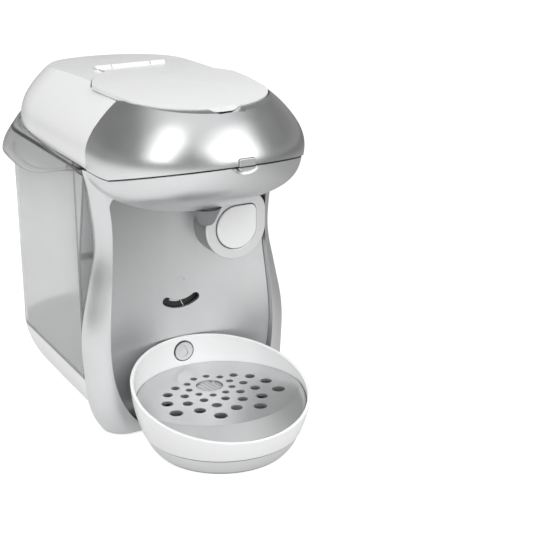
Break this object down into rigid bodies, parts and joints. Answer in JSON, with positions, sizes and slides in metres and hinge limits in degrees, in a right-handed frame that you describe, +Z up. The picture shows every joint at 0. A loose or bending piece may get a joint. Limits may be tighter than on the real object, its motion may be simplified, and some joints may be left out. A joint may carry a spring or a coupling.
{
  "type": "toy coffee maker",
  "caption": "Toy capsule coffee maker: rounded head with an opening lid, spring start button, swinging indicator, pull-off water tank and pull-out drip tray.",
  "frame": {"origin": "on the table, under the middle of the outer box", "axes": "+Z up, the front faces -Y, +X is on the right of a viewer in front"},
  "size_m": [0.1376, 0.2756, 0.2131],
  "materials": {
    "white_shell": "glossy white",
    "silver_cover": "glossy metallic silver lacquer",
    "silver_body": "satin metallic silver",
    "plate_silver": "satin metallic mid silver",
    "clear_tank": "smoky clear",
    "dark_grey": "satin dark grey",
    "inner_grey": "plain grey inner plastic",
    "black_plastic": "matt black",
    "mark_white": "printed white",
    "soft_rubber": "soft dark rubber",
    "hose_rubber": "milky grey tube",
    "steel": "bright steel"
  },
  "bodies": {
    "machine": {"front_frame": "silver_body", "front_panel": "silver_body", "button_bezel": "silver_body", "pump_cylinder": "inner_grey", "pump_spring": "steel", "inlet_hose": "hose_rubber", "outlet_hose": "hose_rubber", "column_housing": "inner_grey", "head_cover": "silver_cover", "head_catch": "silver_cover", "rear_cover": "white_shell", "head_deck": "inner_grey", "hinge_pin": "steel", "capsule_holder": "inner_grey", "nose_shell": "silver_body", "spout": "dark_grey", "base_shell": "white_shell", "bottom_plate": "inner_grey", "base_screws": "steel", "rubber_feet": "soft_rubber", "tank_seat": "soft_rubber", "tray_lug": "silver_body"},
    "lid": {"lid": "white_shell"},
    "button": {"start_button": "white_shell", "button_stem": "inner_grey", "pump_piston": "dark_grey"},
    "flag": {"indicator": "black_plastic", "indicator_mark": "mark_white"},
    "tray": {"drip_tray_ring": "white_shell", "drip_tray_bowl": "silver_body"},
    "plate": {"drip_plate": "plate_silver"},
    "tank": {"water_tank": "clear_tank", "tank_valve": "dark_grey"}
  },
  "joints": [
    {"name": "lid_hinge", "type": "hinge", "parent": "machine", "child": "lid", "pos_m": [0, 0.0364, 0.2103], "axis": [-1, 0, 0], "range_deg": [0, 95]},
    {"name": "button_slide", "type": "slide", "parent": "machine", "child": "button", "axis": [0, 1, 0], "range_m": [0, 0.004], "stiffness_N_per_m": 300, "springref_m": -0.003, "deforming": ["pump_spring"]},
    {"name": "indicator_turn", "type": "hinge", "parent": "machine", "child": "flag", "pos_m": [0, -0.0272, 0.0888], "axis": [0, 1, 0], "range_deg": [0, 30]},
    {"name": "tray_slide", "type": "slide", "parent": "machine", "child": "tray", "axis": [0, -1, 0], "range_m": [0, 0.12]},
    {"name": "plate_lift", "type": "slide", "parent": "tray", "child": "plate", "axis": [0, 0, 1], "range_m": [0, 0.06]},
    {"name": "tank_slide", "type": "slide", "parent": "machine", "child": "tank", "axis": [0, 1, 0], "range_m": [0, 0.19]}
  ],
  "couplings": [
    {"joint": "indicator_turn", "follows": "button_slide", "rad_per_m": 130}
  ]
}
